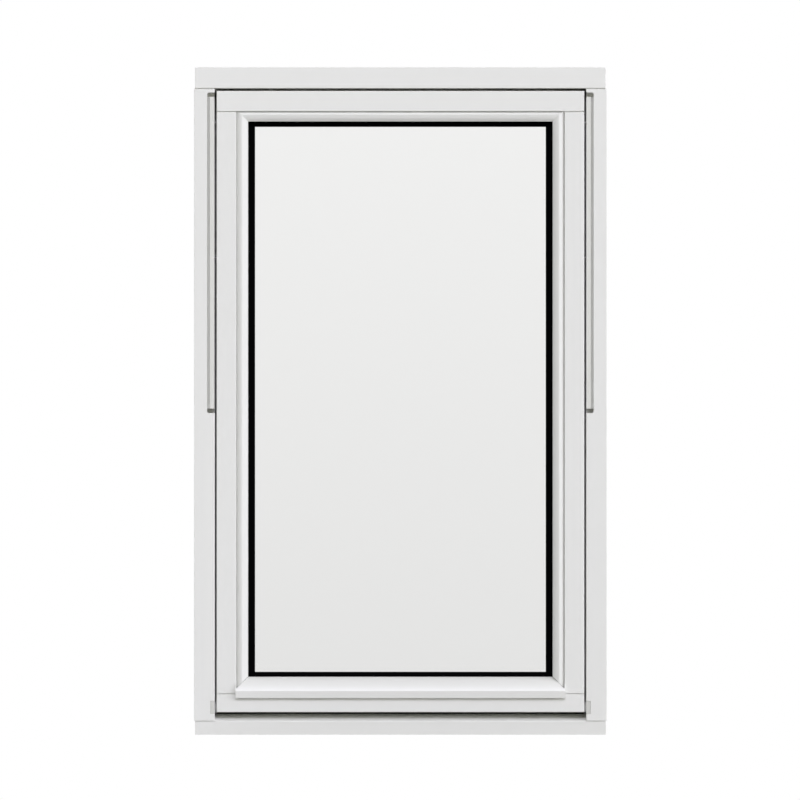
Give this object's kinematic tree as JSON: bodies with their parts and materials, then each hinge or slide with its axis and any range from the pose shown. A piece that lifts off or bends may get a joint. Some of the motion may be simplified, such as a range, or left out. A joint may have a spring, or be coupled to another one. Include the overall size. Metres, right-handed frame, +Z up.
{
  "type": "top swing window",
  "caption": "White painted timber top swing window, closed, with a tall triple glazed sash, mitred glazing beads, a sloped weather bead and hinge rails let into the jambs.",
  "frame": {"origin": "centre of the sill's underside", "axes": "+Z up, +Y towards the room, so the outside face looks along -Y; +X to the right as seen from outside"},
  "size_m": [0.8036, 0.123, 1.3],
  "materials": {
    "painted_timber": "white factory paint on timber, satin",
    "painted_aluminium": "white powder coat, satin",
    "float_glass": "clear",
    "black_spacer": "matt black",
    "black_seal": "matt black",
    "coated_rail": "pale grey coating",
    "grey_plastic": "pale grey, matt",
    "zinc_steel": "zinc plated",
    "satin_metal": "satin"
  },
  "bodies": {
    "root": {"frame_head": "painted_timber", "frame_sill": "painted_timber", "frame_jamb_left": "painted_timber", "frame_jamb_right": "painted_timber", "sash_top_rail": "painted_timber", "sash_bottom_rail": "painted_timber", "sash_stile_left": "painted_timber", "sash_stile_right": "painted_timber", "glazing_bead_top": "painted_timber", "glazing_bead_left": "painted_timber", "glazing_bead_right": "painted_timber", "glazing_bead_bottom": "painted_aluminium", "glass_outer": "float_glass", "glass_middle": "float_glass", "glass_inner": "float_glass", "spacer_outer": "black_spacer", "spacer_inner": "black_spacer", "glazing_tape_outer": "black_seal", "glazing_tape_inner": "black_seal", "frame_seal": "black_seal", "hinge_rail_left": "coated_rail", "hinge_rail_right": "coated_rail", "hinge_slider_left": "grey_plastic", "hinge_slider_right": "grey_plastic", "hinge_arm_left": "zinc_steel", "hinge_arm_right": "zinc_steel", "sash_plate_left": "zinc_steel", "sash_plate_right": "zinc_steel", "strike_left": "grey_plastic", "strike_right": "grey_plastic", "lock_bolt_left": "zinc_steel", "lock_bolt_right": "zinc_steel", "handle_base": "satin_metal", "handle_lever": "satin_metal"}
  },
  "joints": []
}
